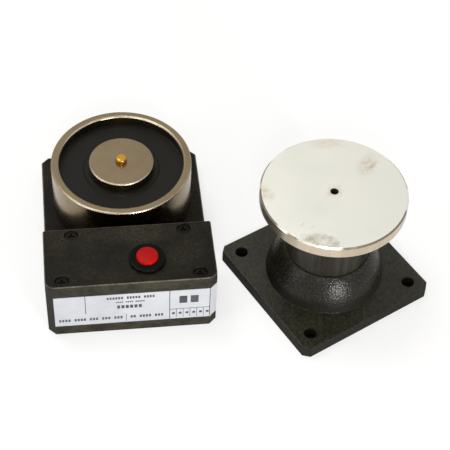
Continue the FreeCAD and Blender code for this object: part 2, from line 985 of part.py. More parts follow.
def beside(shape):
    # From the armature unit's own axis to its place beside the magnet unit.
    shape.rotate(at(0, 0, 0), at(0, 0, 1), armature_turn)
    shape.translate(at(armature_x, armature_y, 0))
    return shape


magnet_unit = [
    housing,
    cover,
    cover_screws,
    label_plate,
    magnet_cup,
    pole_core,
    coil_bobbin,
    coil_winding,
    potting,
    magnet_screws,
    ejector_pin,
    ejector_spring,
    ejector_plug,
    button_body,
    button_cap,
    button_spring,
    button_nut,
    button_base,
    button_contacts,
    contact_bridge,
    terminal_block,
    terminal_clamps,
    terminal_screws,
    coil_leads,
    button_leads,
]

armature_unit = [
    armature_base,
    armature_stem,
    stem_bolt,
    stem_washer,
    retaining_ring,
    swivel_liner,
    ball_stud,
    armature_disc,
]

os.makedirs("parts", exist_ok=True)
for make in magnet_unit:
    make().exportStep("parts/" + make.__name__ + ".step")
for make in armature_unit:
    beside(make()).exportStep("parts/" + make.__name__ + ".step")
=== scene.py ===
import math
import bpy
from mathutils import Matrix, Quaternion, Vector


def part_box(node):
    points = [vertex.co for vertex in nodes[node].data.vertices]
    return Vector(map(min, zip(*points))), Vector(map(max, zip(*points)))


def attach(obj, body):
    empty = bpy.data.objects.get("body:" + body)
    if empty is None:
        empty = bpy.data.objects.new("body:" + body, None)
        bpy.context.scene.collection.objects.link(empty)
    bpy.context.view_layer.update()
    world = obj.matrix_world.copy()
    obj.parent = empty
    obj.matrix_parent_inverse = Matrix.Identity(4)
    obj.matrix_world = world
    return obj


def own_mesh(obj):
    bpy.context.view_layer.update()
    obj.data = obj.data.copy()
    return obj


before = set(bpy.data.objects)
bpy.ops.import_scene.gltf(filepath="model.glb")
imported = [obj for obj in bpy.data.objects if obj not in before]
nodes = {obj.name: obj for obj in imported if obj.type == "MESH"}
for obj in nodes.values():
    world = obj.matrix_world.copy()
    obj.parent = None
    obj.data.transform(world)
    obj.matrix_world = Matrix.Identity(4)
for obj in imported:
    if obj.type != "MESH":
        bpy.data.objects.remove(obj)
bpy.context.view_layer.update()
print("frame loaded:", len(nodes), "nodes")

doorUnitTurn = 27.0  # degrees, as it stands beside the wall unit
discLow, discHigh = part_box("armature_disc")
faceMiddle = Vector(((discLow.x + discHigh.x) / 2, (discLow.y + discHigh.y) / 2, discHigh.z))


# small helpers for node trees

def emptyMaterial(name):
    material = bpy.data.materials.new(name)
    material.use_nodes = True
    material.node_tree.nodes.clear()
    return material, material.node_tree


def newFinish(name):
    material, tree = emptyMaterial(name)
    shader = tree.nodes.new("ShaderNodeBsdfPrincipled")
    output = tree.nodes.new("ShaderNodeOutputMaterial")
    tree.links.new(shader.outputs["BSDF"], output.inputs["Surface"])
    return material, tree, shader


def objectPlace(tree):
    return tree.nodes.new("ShaderNodeTexCoord").outputs["Object"]


def apart(tree, vector):
    # a vector's X, Y and Z
    split = tree.nodes.new("ShaderNodeSeparateXYZ")
    tree.links.new(vector, split.inputs[0])
    return split.outputs


def facingParts(tree):
    # which way the surface faces, as X, Y and Z on the piece's own axes
    return apart(tree, tree.nodes.new("ShaderNodeTexCoord").outputs["Normal"])


def maths(tree, kind, *values):
    node = tree.nodes.new("ShaderNodeMath")
    node.operation = kind
    for socket, value in zip(node.inputs, values):
        if isinstance(value, (int, float)):
            socket.default_value = value
        else:
            tree.links.new(value, socket)
    return node.outputs[0]


def times(tree, product, *others):
    for other in others:
        product = maths(tree, "MULTIPLY", product, other)
    return product


def oneMinus(tree, value):
    return maths(tree, "SUBTRACT", 1.0, value)


def halfway(tree, value):
    # 1 where the value is a half, 0 where it is 0 or 1
    return times(tree, value, oneMinus(tree, value), 4.0)


def roundings(tree, height):
    # 1 where a surface is half turned from the top to a side, 0 on tops, sides and undersides
    upwards = maths(tree, "GREATER_THAN", height, 0.0)
    return times(tree, halfway(tree, times(tree, height, height)), upwards)


def spread(tree, value, fromLow, fromHigh, toLow, toHigh):
    node = tree.nodes.new("ShaderNodeMapRange")
    limits = {"From Min": fromLow, "From Max": fromHigh, "To Min": toLow, "To Max": toHigh}
    for socket, number in limits.items():
        node.inputs[socket].default_value = number
    tree.links.new(value, node.inputs["Value"])
    return node.outputs["Result"]


def noise(tree, place, scale, detail, rough=0.5, stretch=None):
    if stretch:
        mapping = tree.nodes.new("ShaderNodeMapping")
        mapping.inputs["Scale"].default_value = stretch
        tree.links.new(place, mapping.inputs["Vector"])
        place = mapping.outputs["Vector"]
    node = tree.nodes.new("ShaderNodeTexNoise")
    node.inputs["Scale"].default_value = scale
    node.inputs["Detail"].default_value = detail
    node.inputs["Roughness"].default_value = rough
    tree.links.new(place, node.inputs["Vector"])
    return node.outputs["Fac"]


def speckle(tree, place, s, most=1.0):
    # noise, with the stretch between two of its values drawn out to run from the least to the most
    cloud = noise(tree, place, s["scale"], s["detail"], s["rough"], s.get("stretch"))
    return spread(tree, cloud, *s["between"], s.get("least", 0.0), most)


def blend(tree, amount, first, second):
    node = tree.nodes.new("ShaderNodeMix")
    node.data_type = "RGBA"
    tree.links.new(amount, node.inputs["Factor"])
    for name, value in (("A", first), ("B", second)):
        socket = [s for s in node.inputs if s.name == name and s.type == "RGBA"][0]
        if isinstance(value, tuple):
            socket.default_value = (*value, 1)
        else:
            tree.links.new(value, socket)
    return [s for s in node.outputs if s.type == "RGBA"][0]


def bump(tree, height, strength, distance):
    node = tree.nodes.new("ShaderNodeBump")
    node.inputs["Strength"].default_value = strength
    node.inputs["Distance"].default_value = distance
    tree.links.new(height, node.inputs["Height"])
    return node.outputs["Normal"]


def warped(tree, place, scale, amount):
    # pushes the place about a little, so that spots get ragged edges
    cloud = tree.nodes.new("ShaderNodeTexNoise")
    cloud.inputs["Scale"].default_value = scale
    tree.links.new(place, cloud.inputs["Vector"])
    centred = tree.nodes.new("ShaderNodeVectorMath")
    centred.operation = "SUBTRACT"
    centred.inputs[1].default_value = (0.5, 0.5, 0.5)
    tree.links.new(cloud.outputs["Color"], centred.inputs[0])
    push = tree.nodes.new("ShaderNodeVectorMath")
    push.operation = "MULTIPLY_ADD"
    push.inputs[1].default_value = (amount, amount, amount)
    tree.links.new(centred.outputs[0], push.inputs[0])
    tree.links.new(place, push.inputs[2])
    return push.outputs[0]


def around(tree, place, centre, half, turn):
    # the place as measured from a centre, on turned axes, where 1 is half a width
    mapping = tree.nodes.new("ShaderNodeMapping")
    mapping.vector_type = "TEXTURE"
    mapping.inputs["Location"].default_value = centre
    mapping.inputs["Rotation"].default_value = (0, 0, math.radians(turn))
    mapping.inputs["Scale"].default_value = half
    tree.links.new(place, mapping.inputs["Vector"])
    return mapping.outputs["Vector"]


def patch(tree, place, centre, half, soft, turn=0.0):
    # 1 inside an oval, fading to 0 at its edge
    length = tree.nodes.new("ShaderNodeVectorMath")
    length.operation = "LENGTH"
    tree.links.new(around(tree, place, centre, half, turn), length.inputs[0])
    return spread(tree, length.outputs["Value"], 1 - soft, 1.0, 1.0, 0.0)


# finishes of the black mouldings
# an "over" is how far the surface faces the top (Z) or the front (Y) while a value changes

housingBlack = {
    "dark": (0.0052, 0.0043, 0.0028),
    "dustAndSheen": (0.032, 0.028, 0.0170),
    "blotchScale": 46,
    "grainScale": 1500,
    "grainDepth": 0.00005,
    "rough": (0.42, 0.62),
    "specular": 0.08,
    "lint": 0.35,
    # painted highlight on the rounded edges and painted reflection on the front
    "edgeAndFrontLight": {"edges": 0.9, "front": 0.17, "frontOver": (-0.5, -0.95), "tint": (0.15, 0.14, 0.108)},
    "sheens": [  # paler patches on the cover, part dust and part painted sheen, with half-widths, in metres
        {"centre": (0.004, -0.043, 0.033), "half": (0.026, 0.008, 0.02), "amount": 0.75},
        {"centre": (-0.024, -0.046, 0.033), "half": (0.018, 0.009, 0.02), "amount": 0.30},
        {"centre": (0.026, -0.058, 0.033), "half": (0.013, 0.013, 0.02), "amount": 0.38},
        {"centre": (-0.008, -0.066, 0.033), "half": (0.030, 0.006, 0.02), "amount": 0.22},
    ],
}
flangeBlack = {
    "dark": (0.0050, 0.0042, 0.0024),
    "dustAndSheen": (0.048, 0.0475, 0.0285),
    "settled": {"even": 0.55, "slopes": 0.08, "over": (0.85, 0.98)},  # even on flat tops, little on slopes
    "blotchScale": 60,
    "grainScale": 1250,
    "grainDepth": 0.00024,
    "walls": {"grain": 0.12, "grainOver": (0.05, 0.30), "rough": 0.75, "roughOver": (0.10, 0.45)},
    "tips": {"tint": (0.034, 0.031, 0.025), "between": (0.50, 0.68), "amount": 0.75, "smoother": 0.28},
    "rough": (0.25, 0.33),
    "specular": 0.20,
    "lint": 0.12,
}
stemBlack = {
    "dark": (0.0090, 0.0083, 0.0060),
    "dustAndSheen": (0.035, 0.0325, 0.0225),
    "blotchScale": 90,
    "grainScale": 2600,
    "grainDepth": 0.00002,
    "rough": (0.26, 0.38),
    "specular": 0.25,
    # pale streaks along the stem are painted streak reflections
    "streak": 0.9,
}
buttonBlack = {
    "dark": (0.0022, 0.0025, 0.0020),
    "dustAndSheen": (0.0050, 0.0050, 0.0040),
    "blotchScale": 150,
    "grainScale": 3000,
    "grainDepth": 0.00001,
    "rough": (0.12, 0.18),
    "specular": 0.07,
}
mouldingMarks = {  # what the black mouldings share
    "blotch": {"detail": 7, "rough": 0.66, "dustAndSheen": (0.40, 0.74), "dull": (0.3, 0.7)},
    "grain": {"detail": 2, "strength": 0.8},
    "sheen": {"warpScale": 120, "warp": 0.008, "soft": 0.9},
    "streaks": {"scale": 420, "detail": 4, "rough": 0.6, "stretch": (1, 1, 0.04), "between": (0.42, 0.66)},
    "betweenStreaks": 0.4,  # the share of the other dust and painted sheen that stays there
    "dots": {"ofGrain": 0.6, "detail": 3, "rough": 0.7, "between": (0.38, 0.64), "least": 0.25},
    "lightPatches": {"scale": 260, "detail": 4, "rough": 0.6, "between": (0.35, 0.6), "least": 0.35},
    "lint": {"scale": 950, "detail": 2, "rough": 0.5, "between": (0.735, 0.76), "tint": (0.14, 0.13, 0.11)},
}


def dustAndSheenOn(tree, place, facing, blotch, s):
    # how much dust and painted sheen lies where, from 0 to 1
    marks = mouldingMarks
    dustAndSheenAmount = spread(tree, blotch, *marks["blotch"]["dustAndSheen"], 0.0, 1.0)
    for sheen in s.get("sheens", []):
        ragged = warped(tree, place, marks["sheen"]["warpScale"], marks["sheen"]["warp"])
        soft = patch(tree, ragged, sheen["centre"], sheen["half"], marks["sheen"]["soft"])
        dustAndSheenAmount = maths(tree, "ADD", dustAndSheenAmount, times(tree, soft, sheen["amount"]))
    if "streak" in s:  # pale lines along the stem: painted streak reflections
        lines = speckle(tree, place, marks["streaks"], s["streak"])
        dustAndSheenAmount = maths(tree, "ADD", times(tree, dustAndSheenAmount, marks["betweenStreaks"]), lines)
    if "settled" in s:
        even = spread(tree, dustAndSheenAmount, 0.0, 1.0, s["settled"]["even"], 1.0)
        flat = spread(tree, facing["Z"], *s["settled"]["over"], s["settled"]["slopes"], 1.0)
        dustAndSheenAmount = times(tree, even, flat)
    dots = {**marks["dots"], "scale": s["grainScale"] * marks["dots"]["ofGrain"]}
    return times(tree, dustAndSheenAmount, speckle(tree, place, dots))


def blackMoulding(name, s):
    material, tree, shader = newFinish(name)
    marks = mouldingMarks
    place = objectPlace(tree)
    facing = facingParts(tree)
    blotch = noise(tree, place, s["blotchScale"], marks["blotch"]["detail"], marks["blotch"]["rough"])
    grain = noise(tree, place, s["grainScale"], marks["grain"]["detail"])
    roughness = spread(tree, blotch, *marks["blotch"]["dull"], *s["rough"])
    if "walls" in s:  # upright walls have little of the grain, and are dull
        grained = spread(tree, facing["Z"], *s["walls"]["grainOver"], s["walls"]["grain"], 1.0)
        grain = times(tree, grain, grained)
        dull = spread(tree, facing["Z"], *s["walls"]["roughOver"], s["walls"]["rough"], 0.0)
        roughness = maths(tree, "MAXIMUM", roughness, dull)
    tint = blend(tree, dustAndSheenOn(tree, place, facing, blotch, s), s["dark"], s["dustAndSheen"])
    if "tips" in s:  # the tips of the grain are paler and smoother
        tips = spread(tree, grain, *s["tips"]["between"], 0.0, s["tips"]["amount"])
        tint = blend(tree, tips, tint, s["tips"]["tint"])
        roughness = maths(tree, "SUBTRACT", roughness, times(tree, tips, s["tips"]["smoother"]))
    if "edgeAndFrontLight" in s:  # painted highlight along its rounded edges and painted reflection on its front, in patches
        along = times(tree, roundings(tree, facing["Z"]), s["edgeAndFrontLight"]["edges"])
        front = spread(tree, facing["Y"], *s["edgeAndFrontLight"]["frontOver"], 0.0, s["edgeAndFrontLight"]["front"])
        paintedLight = times(tree, maths(tree, "MAXIMUM", along, front), speckle(tree, place, marks["lightPatches"]))
        tint = blend(tree, paintedLight, tint, s["edgeAndFrontLight"]["tint"])
    if "lint" in s:
        tint = blend(tree, speckle(tree, place, marks["lint"], s["lint"]), tint, marks["lint"]["tint"])
    tree.links.new(tint, shader.inputs["Base Color"])
    tree.links.new(roughness, shader.inputs["Roughness"])
    normal = bump(tree, grain, marks["grain"]["strength"], s["grainDepth"])
    tree.links.new(normal, shader.inputs["Normal"])
    shader.inputs["Specular IOR Level"].default_value = s["specular"]
    return material


# finishes of the metals
# grain and clouds are scales of noise, and depth is how deep the grain looks, in metres

potNickel = {
    "tints": ((0.275, 0.218, 0.135), (0.210, 0.162, 0.098)),
    "rough": (0.17, 0.26), "grain": 900, "depth": 0.000004, "clouds": 70,
    "polishAndHighlight": {  # its rounded edges, paler as if polished, with painted highlights most on those facing the front
        "tint": (0.82, 0.79, 0.72), "amount": 0.8, "away": 0.10, "over": (-0.15, -0.6), "rougher": 0.30,
        "patches": {"scale": 85, "detail": 3, "rough": 0.6, "between": (0.40, 0.60), "least": 0.35},
    },
}
zincSteel = {
    "tints": ((0.62, 0.62, 0.63), (0.45, 0.45, 0.47)),
    "rough": (0.28, 0.42), "grain": 1200, "depth": 0.000006, "clouds": 60,
}
blackedSteel = {
    "tints": ((0.014, 0.012, 0.010), (0.008, 0.007, 0.006)),
    "rough": (0.34, 0.46), "grain": 1200, "depth": 0.00001, "clouds": 120,
}
oiledSteel = {
    "tints": ((0.20, 0.19, 0.17), (0.10, 0.095, 0.085)),
    "rough": (0.30, 0.42), "grain": 1200, "depth": 0.00001, "clouds": 120,
}
turnedBrass = {
    "tints": ((0.56, 0.31, 0.055), (0.42, 0.22, 0.04)),
    "rough": (0.20, 0.30), "grain": 1500, "depth": 0.000005, "clouds": 150,
}
copperWire = {
    "tints": ((0.80, 0.36, 0.18), (0.5, 0.2, 0.1)),
    "rough": (0.25, 0.4), "grain": 800, "depth": 0.00001, "clouds": 60,
}
discNickel = {  # places and half-widths in millimetres, on the disc's own axes
    "tints": ((0.81, 0.81, 0.745), (0.74, 0.73, 0.66)),
    "rough": (0.26, 0.40), "grain": 700, "depth": 0.000008, "clouds": 55,
    "rim": {  # the turned edge is tinted darker and warmer, in streaks, from this far down: a painted reflection of warm surroundings
        "tint": (0.52, 0.44, 0.335), "down": 0.9,
        "streaks": {
            "scale": 260, "detail": 4, "rough": 0.6, "stretch": (1, 1, 0.1),
            "between": (0.4, 0.65), "least": 0.75,
        },
    },
    "bevel": {  # the corner above it is dark in places
        "tint": (0.16, 0.13, 0.09), "down": 0.05, "amount": 0.9,
        "patches": {
            "scale": 55, "detail": 2, "rough": 0.5, "stretch": (1, 1, 0.1), "between": (0.47, 0.53),
        },
    },
    "stains": [
        {"at": (23.4, 3.5), "half": (4.6, 1.6), "turn": 20, "tint": (0.40, 0.28, 0.18), "amount": 0.80},
        {"at": (21.5, 5.0), "half": (8.5, 5.0), "turn": 35, "tint": (0.62, 0.50, 0.37), "amount": 0.70},
        {"at": (-26.5, 15.5), "half": (4.4, 7.0), "turn": 10, "tint": (0.56, 0.46, 0.31), "amount": 0.72},
        {"at": (-25.0, -16.5), "half": (5.4, 3.0), "turn": -50, "tint": (0.46, 0.40, 0.28), "amount": 0.70},
        {"at": (-20.5, -21.0), "half": (6.8, 3.8), "turn": -50, "tint": (0.56, 0.50, 0.39), "amount": 0.60},
        {"at": (-21.0, -20.5), "half": (8.2, 4.6), "turn": -50, "tint": (0.30, 0.25, 0.17), "amount": 0.5,
         "ring": True},
        {"at": (14.5, 25.0), "half": (10.0, 4.0), "turn": -30, "tint": (0.62, 0.52, 0.36), "amount": 0.55},
        {"at": (0.0, 0.0), "half": (4.6, 4.2), "turn": 0, "tint": (0.52, 0.40, 0.27), "amount": 0.70},
    ],
    "stainEdge": {"warpScale": 330, "warp": 0.0035, "soft": 0.75},
    "flecks": {"scale": 520, "detail": 4, "rough": 0.7, "between": (0.38, 0.6), "least": 0.25},
    "scratches": [
        {"at": (-22.8, -8.1), "half": (2.2, 0.22), "turn": 25},
        {"at": (-20.0, -11.5), "half": (1.6, 0.2), "turn": -15},
    ],
    "scratch": {"tint": (0.40, 0.36, 0.30), "soft": 0.5, "amount": 0.5},
    "turn": doorUnitTurn,
    "reach": 20,  # the marks go right through the disc's thickness
}
driftOver = {"tint": (0.35, 0.7), "dull": (0.3, 0.7)}  # stretches of the clouds' noise
metalClouds = {"detail": 6, "rough": 0.65}
fineGrain = {"detail": 3, "strength": 0.5}
millimetre = 0.001


def drift(tree, cloud, s):
    # a tint and a roughness that change a little from place to place
    tint = blend(tree, spread(tree, cloud, *driftOver["tint"], 0.0, 1.0), *s["tints"])
    return tint, spread(tree, cloud, *driftOver["dull"], *s["rough"])


def onDisc(tree, place, s, mark, soft):
    # 1 inside an oval mark on the disc's face
    offset = Vector((*mark["at"], 0)) * millimetre
    offset.rotate(Quaternion((0, 0, 1), math.radians(s["turn"])))
    half = Vector((*mark["half"], s["reach"])) * millimetre
    return patch(tree, place, faceMiddle + offset, half, soft, s["turn"] + mark["turn"])


def stained(tree, place, tint, s):
    edge = s["stainEdge"]
    ragged = warped(tree, place, edge["warpScale"], edge["warp"])
    flecks = speckle(tree, place, s["flecks"])
    for stain in s["stains"]:
        spot = onDisc(tree, ragged, s, stain, edge["soft"])
        if stain.get("ring"):  # only its dried outline
            spot = halfway(tree, spot)
        tint = blend(tree, times(tree, spot, flecks, stain["amount"]), tint, stain["tint"])
    return tint


def scratched(tree, place, tint, s):
    for scratch in s["scratches"]:
        mark = onDisc(tree, place, s, scratch, s["scratch"]["soft"])
        tint = blend(tree, times(tree, mark, s["scratch"]["amount"]), tint, s["scratch"]["tint"])
    return tint


def turnedRim(tree, place, tint, s):
    height = apart(tree, place)["Z"]
    corner = maths(tree, "LESS_THAN", height, faceMiddle.z - s["bevel"]["down"] * millimetre)
    patches = speckle(tree, place, s["bevel"]["patches"], s["bevel"]["amount"])
    tint = blend(tree, times(tree, corner, patches), tint, s["bevel"]["tint"])
    # painted reflection: the turned side is tinted warm, in streaks
    rim = maths(tree, "LESS_THAN", height, faceMiddle.z - s["rim"]["down"] * millimetre)
    streaks = speckle(tree, place, s["rim"]["streaks"])
    return blend(tree, times(tree, rim, streaks), tint, s["rim"]["tint"])


def platedMetal(name, s):
    material, tree, shader = newFinish(name)
    place = objectPlace(tree)
    cloud = noise(tree, place, s["clouds"], metalClouds["detail"], metalClouds["rough"])
    grain = noise(tree, place, s["grain"], fineGrain["detail"])
    tint, roughness = drift(tree, cloud, s)
    if "stains" in s:
        tint = scratched(tree, place, stained(tree, place, tint, s), s)
        tint = turnedRim(tree, place, tint, s)
    # painted highlights: rounded edges tinted pale, most where they face the front
    if "polishAndHighlight" in s:
        polishAndHighlight = s["polishAndHighlight"]
        facing = facingParts(tree)
        edges = roundings(tree, facing["Z"])
        toFront = spread(tree, facing["Y"], *polishAndHighlight["over"], polishAndHighlight["away"], polishAndHighlight["amount"])
        paintedHighlight = times(tree, edges, toFront, speckle(tree, place, polishAndHighlight["patches"]))
        tint = blend(tree, paintedHighlight, tint, polishAndHighlight["tint"])
        grain = times(tree, grain, oneMinus(tree, edges))
        roughness = maths(tree, "ADD", roughness, times(tree, edges, polishAndHighlight["rougher"]))
    tree.links.new(tint, shader.inputs["Base Color"])
    tree.links.new(roughness, shader.inputs["Roughness"])
    tree.links.new(bump(tree, grain, fineGrain["strength"], s["depth"]), shader.inputs["Normal"])
    shader.inputs["Metallic"].default_value = 1.0
    return material


# plain plastics: label film, button cap, nylon, terminal block, leads and resin

capRed = {
    "tints": ((0.38, 0.004, 0.0025), (0.31, 0.003, 0.002)),
    "rough": (0.34, 0.46), "grain": 500, "depth": 0.00001, "specular": 0.08,
}
filmWhite = {
    "tints": ((0.43, 0.445, 0.475), (0.355, 0.37, 0.40)),
    "rough": (0.38, 0.5), "grain": 300, "depth": 0.000004, "specular": 0.3,
}
inkGrey = {
    "tints": ((0.045, 0.045, 0.05), (0.09, 0.09, 0.10)),
    "rough": (0.5, 0.6), "grain": 900, "depth": 0.000002, "specular": 0.1,
}
nylonWhite = {
    "tints": ((0.80, 0.79, 0.74), (0.70, 0.69, 0.63)),
    "rough": (0.4, 0.55), "grain": 700, "depth": 0.00001, "specular": 0.4,
}
terminalGrey = {
    "tints": ((0.42, 0.42, 0.42), (0.34, 0.34, 0.34)),
    "rough": (0.45, 0.6), "grain": 900, "depth": 0.00001, "specular": 0.4,
}
leadSleeve = {
    "tints": ((0.10, 0.10, 0.11), (0.06, 0.06, 0.07)),
    "rough": (0.4, 0.5), "grain": 900, "depth": 0.00001, "specular": 0.4,
}
castResin = {
    "tints": ((0.0105, 0.0090, 0.0068), (0.0060, 0.0052, 0.0040)),
    "rough": (0.30, 0.5), "grain": 260, "depth": 0.00012, "specular": 0.12,
}
plasticClouds = {"scale": 60, "detail": 5, "rough": 0.6}


def plainPlastic(name, s):
    material, tree, shader = newFinish(name)
    place = objectPlace(tree)
    cloud = noise(tree, place, plasticClouds["scale"], plasticClouds["detail"], plasticClouds["rough"])
    grain = noise(tree, place, s["grain"], fineGrain["detail"])
    tint, roughness = drift(tree, cloud, s)
    tree.links.new(tint, shader.inputs["Base Color"])
    tree.links.new(roughness, shader.inputs["Roughness"])
    tree.links.new(bump(tree, grain, fineGrain["strength"], s["depth"]), shader.inputs["Normal"])
    shader.inputs["Specular IOR Level"].default_value = s["specular"]
    return material


# each finish: how it is made, its settings and the nodes that wear it

finishes = {
    "housingBlack": (blackMoulding, housingBlack, ["housing", "cover"]),
    "flangeBlack": (blackMoulding, flangeBlack, ["armature_base"]),
    "stemBlack": (blackMoulding, stemBlack, ["armature_stem"]),
    "buttonBlack": (blackMoulding, buttonBlack, ["button_body", "button_nut", "button_base"]),
    "potNickel": (platedMetal, potNickel, ["magnet_cup", "pole_core"]),
    "discNickel": (platedMetal, discNickel, ["armature_disc"]),
    "zincSteel": (platedMetal, zincSteel, [
        "magnet_screws", "ejector_spring", "button_spring", "terminal_screws", "stem_bolt", "stem_washer",
    ]),
    "blackedSteel": (platedMetal, blackedSteel, ["cover_screws"]),
    "oiledSteel": (platedMetal, oiledSteel, ["retaining_ring", "ball_stud"]),
    "turnedBrass": (platedMetal, turnedBrass, [
        "ejector_pin", "ejector_plug", "button_contacts", "contact_bridge", "terminal_clamps",
    ]),
    "copperWire": (platedMetal, copperWire, ["coil_winding"]),
    "capRed": (plainPlastic, capRed, ["button_cap"]),
    "filmWhite": (plainPlastic, filmWhite, ["label_plate"]),
    "inkGrey": (plainPlastic, inkGrey, []),  # for the print, which is drawn below
    "nylonWhite": (plainPlastic, nylonWhite, ["coil_bobbin", "swivel_liner"]),
    "terminalGrey": (plainPlastic, terminalGrey, ["terminal_block"]),
    "leadSleeve": (plainPlastic, leadSleeve, ["coil_leads", "button_leads"]),
    "castResin": (plainPlastic, castResin, ["potting"]),
}
materials = {}


def wear(piece, finish):
    piece.data.materials.clear()
    piece.data.materials.append(materials[finish])


for finish, (make, settings, wearers) in finishes.items():
    materials[finish] = make(finish, settings)
    for name in wearers:
        wear(nodes[name], finish)
print("finishes on", sum(len(wearers) for make, settings, wearers in finishes.values()), "nodes")


# rounded edges and soft shading for the carried-over nodes, as modifiers that leave their meshes alone

softEdges = {  # angles in degrees
    "join": 0.000002,  # corners nearer than this become one
    "flat": 0.4,  # faces that turn less than this become one
    "sharp": 35,  # edges that turn more than this are rounded
    "segments": 2,
    "widths": {"housing": 0.00030, "cover": 0.00030, "armature_base": 0.00032},
    "crease": 32,  # edges that turn more than this are shaded as sharp
    "flatWeight": 90,
}


def shadingGroup(s):
    group = bpy.data.node_groups.new("joinAndShade", "GeometryNodeTree")
    group.interface.new_socket("Geometry", in_out="INPUT", socket_type="NodeSocketGeometry")
    group.interface.new_socket("Geometry", in_out="OUTPUT", socket_type="NodeSocketGeometry")
    start = group.nodes.new("NodeGroupInput")
    end = group.nodes.new("NodeGroupOutput")
    merge = group.nodes.new("GeometryNodeMergeByDistance")
    merge.inputs["Distance"].default_value = s["join"]
    smooth = group.nodes.new("GeometryNodeSetShadeSmooth")
    crease = group.nodes.new("GeometryNodeSetShadeSmooth")
    crease.domain = "EDGE"
    crease.inputs["Shade Smooth"].default_value = False
    angle = group.nodes.new("GeometryNodeInputMeshEdgeAngle")
    sharp = group.nodes.new("FunctionNodeCompare")
    sharp.operation = "GREATER_THAN"
    sharp.inputs["B"].default_value = math.radians(s["crease"])
    group.links.new(start.outputs[0], merge.inputs["Geometry"])
    group.links.new(merge.outputs["Geometry"], smooth.inputs["Geometry"])
    group.links.new(smooth.outputs["Geometry"], crease.inputs["Geometry"])
    group.links.new(angle.outputs["Unsigned Angle"], sharp.inputs["A"])
    group.links.new(sharp.outputs["Result"], crease.inputs["Selection"])
    group.links.new(crease.outputs["Geometry"], end.inputs[0])
    return group


def roundEdges(node, s, width):
    # joins the triangles, clears the flat faces, then rounds what is sharp
    join = node.modifiers.new("join", "WELD")
    join.merge_threshold = s["join"]
    clear = node.modifiers.new("clearFlats", "DECIMATE")
    clear.decimate_type = "DISSOLVE"
    clear.angle_limit = math.radians(s["flat"])
    rounding = node.modifiers.new("rounding", "BEVEL")
    rounding.width = width
    rounding.segments = s["segments"]
    rounding.limit_method = "ANGLE"
    rounding.angle_limit = math.radians(s["sharp"])
    rounding.use_clamp_overlap = True


def softShading(node, s, group):
    shade = node.modifiers.new("joinAndShade", "NODES")
    shade.node_group = group
    even = node.modifiers.new("evenFlats", "WEIGHTED_NORMAL")
    even.keep_sharp = True
    even.weight = s["flatWeight"]


joinAndShade = shadingGroup(softEdges)
for name, node in nodes.items():
    if name in softEdges["widths"]:
        roundEdges(node, softEdges, softEdges["widths"][name])
    softShading(node, softEdges, joinAndShade)
print("edges rounded on", len(softEdges["widths"]), "nodes, shading softened on", len(nodes))


# the two springs inside each get a mesh of their own, listed with the joints that press them in

springs = {  # keep is the share of the length that is left at the joint's limit
    "ejector_spring": {"joint": "ejector_slide", "foot": (0.0, 0.0, 0.0130), "keep": 0.734},
    "button_spring": {"joint": "button_slide", "foot": (0.0075, -0.0590, 0.0255), "keep": 0.599},
}
for name, s in springs.items():
    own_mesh(nodes[name])
print("springs that follow their joints:", len(springs))


# printed rules and rows of plain dashes on the label

labelPrint = {
    "lift": 0.00003,  # how thick the ink is
    "thin": 0.00022, "thick": 0.00032,  # widths of the rules
    "low": 0.0068, "row": 0.0128, "high": 0.0260,  # heights of the rules
    "gap": 0.0008,  # between the upright rules and the bottom row
    "past": 0.0006,  # how far the dividing rule goes below the others
    "columns": {"left": -0.0208, "right": 0.0162, "fold": 0.0343},  # places of the long upright rules
    "cells": 6,  # in the bottom row, right of the dividing rule
    "tick": -0.0030,  # place of the short rule in the bottom row
    "dash": {"fill": 0.7, "widest": 0.9},  # inked part of the step, and width as a share of the height
    "lines": [  # place of the first dash, its foot and height, the step, how many, and which are left out
        {"start": -0.0112, "foot": 0.0226, "high": 0.0016, "step": 0.00125, "count": 17, "blanks": (6, 12)},
        {"start": -0.0072, "foot": 0.0200, "high": 0.0009, "step": 0.00085, "count": 15, "blanks": (4, 9)},
        {"start": -0.0068, "foot": 0.0160, "high": 0.0022, "step": 0.00190, "count": 6, "blanks": ()},
        {"start": -0.0325, "foot": 0.0088, "high": 0.0017, "step": 0.00135, "count": 21,
         "blanks": (4, 9, 13, 17)},
        {"start": -0.0010, "foot": 0.0088, "high": 0.0017, "step": 0.00135, "count": 11, "blanks": (2, 7)},
        {"start": 0.0206, "foot": 0.0170, "high": 0.0050, "step": 0.00500, "count": 2, "blanks": ()},
        {"start": 0.0174, "foot": 0.0092, "high": 0.0014, "step": 0.00302, "count": 6, "blanks": ()},
    ],
}


def ruleStrips(s):
    left, right, fold = s["columns"]["left"], s["columns"]["right"], s["columns"]["fold"]
    cell = (fold - right) / s["cells"]
    strips = [
        (left, left + s["thick"], s["row"] + s["gap"], s["high"]),
        (right, right + s["thick"], s["low"] - s["past"], s["high"]),
        (fold - s["thick"], fold, s["low"], s["high"]),
        (right, fold, s["row"], s["row"] + s["thick"]),
        (s["tick"], s["tick"] + s["thin"], s["low"], s["row"] - s["gap"]),
    ]
    for n in range(1, s["cells"]):
        strips.append((right + cell * n, right + cell * n + s["thin"], s["low"], s["row"]))
    return strips


def dashStrips(s):
    strips = []
    for line in s["lines"]:
        wide = min(line["step"] * s["dash"]["fill"], line["high"] * s["dash"]["widest"])
        for n in range(line["count"]):
            if n not in line["blanks"]:
                start = line["start"] + n * line["step"]
                strips.append((start, start + wide, line["foot"], line["foot"] + line["high"]))
    return strips


